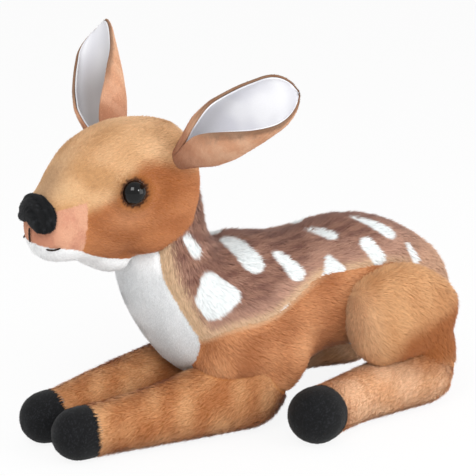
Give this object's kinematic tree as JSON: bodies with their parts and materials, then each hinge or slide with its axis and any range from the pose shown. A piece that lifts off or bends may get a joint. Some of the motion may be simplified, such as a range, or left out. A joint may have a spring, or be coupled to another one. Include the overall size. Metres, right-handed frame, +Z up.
{
  "type": "plush fawn toy",
  "caption": "Stuffed plush fawn lying with its head up, made of sewn fur panels over filling, with posable head, ears, tail and legs.",
  "frame": {"origin": "middle of the toy's footprint, on the surface that it lies on", "axes": "+Z up, the nose points towards -X and the rump towards +X, and the left flank faces -Y"},
  "size_m": [0.3192, 0.197, 0.252],
  "materials": {
    "back_pile": "long dark brown fur pile with white spots",
    "orange_pile": "orange tan fur pile",
    "forehead_pile": "golden tan fur pile",
    "rust_pile": "rust orange fur pile",
    "peach_plush": "short peach plush",
    "white_plush": "short cool white plush",
    "black_plush": "short black plush",
    "ear_lining": "white satin with a soft sheen",
    "fill": "polyester fibre filling",
    "thread": "dark brown twisted thread",
    "eye_plastic": "polished black",
    "washer_plastic": "moulded natural"
  },
  "bodies": {
    "trunk": {"torso_stuffing": "fill", "chest_cover": "white_plush", "back_cover": "back_pile", "belly_cover": "white_plush", "flank_cover_left": "orange_pile", "flank_cover_right": "orange_pile", "thigh_cover_left": "orange_pile", "thigh_cover_right": "orange_pile", "thigh_stuffing_left": "fill", "thigh_stuffing_right": "fill"},
    "head": {"head_stuffing": "fill", "forehead_cover": "forehead_pile", "chin_cover": "white_plush", "cheek_cover_left": "rust_pile", "cheek_cover_right": "rust_pile", "muzzle_cover_left": "peach_plush", "muzzle_cover_right": "peach_plush", "nose_pad": "black_plush", "mouth_stitches": "thread", "eye_left": "eye_plastic", "eye_right": "eye_plastic", "eye_washer_left": "washer_plastic", "eye_washer_right": "washer_plastic"},
    "ear_left": {"ear_left_outer": "peach_plush", "ear_left_lining": "ear_lining"},
    "ear_right": {"ear_right_outer": "peach_plush", "ear_right_lining": "ear_lining"},
    "tail": {"tail_top": "back_pile", "tail_underside": "white_plush"},
    "foreleg_left": {"foreleg_cover_left": "orange_pile", "foreleg_stuffing_left": "fill", "hoof_front_left": "black_plush"},
    "foreleg_right": {"foreleg_cover_right": "orange_pile", "foreleg_stuffing_right": "fill", "hoof_front_right": "black_plush"},
    "shank_left": {"shank_cover_left": "orange_pile", "shank_stuffing_left": "fill", "hoof_hind_left": "black_plush"},
    "shank_right": {"shank_cover_right": "orange_pile", "shank_stuffing_right": "fill", "hoof_hind_right": "black_plush"}
  },
  "joints": [
    {"name": "head_turn", "type": "hinge", "parent": "trunk", "child": "head", "pos_m": [-0.05623, 0.00467, 0.16436], "axis": [0, 0, 1], "range_deg": [-20, 20], "stiffness_Nm_per_rad": 0.2},
    {"name": "ear_left_flop", "type": "hinge", "parent": "head", "child": "ear_left", "pos_m": [-0.07153, -0.03297, 0.18412], "axis": [-0.1268, -0.6595, -0.7409], "range_deg": [-12, 15], "stiffness_Nm_per_rad": 0.03},
    {"name": "ear_right_flop", "type": "hinge", "parent": "head", "child": "ear_right", "pos_m": [-0.08279, 0.03092, 0.18979], "axis": [0.3654, -0.6937, 0.6207], "range_deg": [-12, 15], "stiffness_Nm_per_rad": 0.03},
    {"name": "tail_lift", "type": "hinge", "parent": "trunk", "child": "tail", "pos_m": [0.13907, 0.00467, 0.09625], "axis": [0, -1, 0], "range_deg": [0, 60], "stiffness_Nm_per_rad": 0.02},
    {"name": "foreleg_left_lift", "type": "hinge", "parent": "trunk", "child": "foreleg_left", "pos_m": [-0.01213, -0.02033, 0.029], "axis": [0, 1, 0], "range_deg": [0, 20], "stiffness_Nm_per_rad": 0.1},
    {"name": "foreleg_right_lift", "type": "hinge", "parent": "trunk", "child": "foreleg_right", "pos_m": [-0.01213, 0.02967, 0.029], "axis": [0, 1, 0], "range_deg": [0, 20], "stiffness_Nm_per_rad": 0.1},
    {"name": "shank_left_swing", "type": "hinge", "parent": "trunk", "child": "shank_left", "pos_m": [0.10967, -0.04033, 0.023], "axis": [0, 0, 1], "range_deg": [-4, 20], "stiffness_Nm_per_rad": 0.1},
    {"name": "shank_right_swing", "type": "hinge", "parent": "trunk", "child": "shank_right", "pos_m": [0.10967, 0.04967, 0.023], "axis": [0, 0, -1], "range_deg": [-4, 20], "stiffness_Nm_per_rad": 0.1}
  ]
}
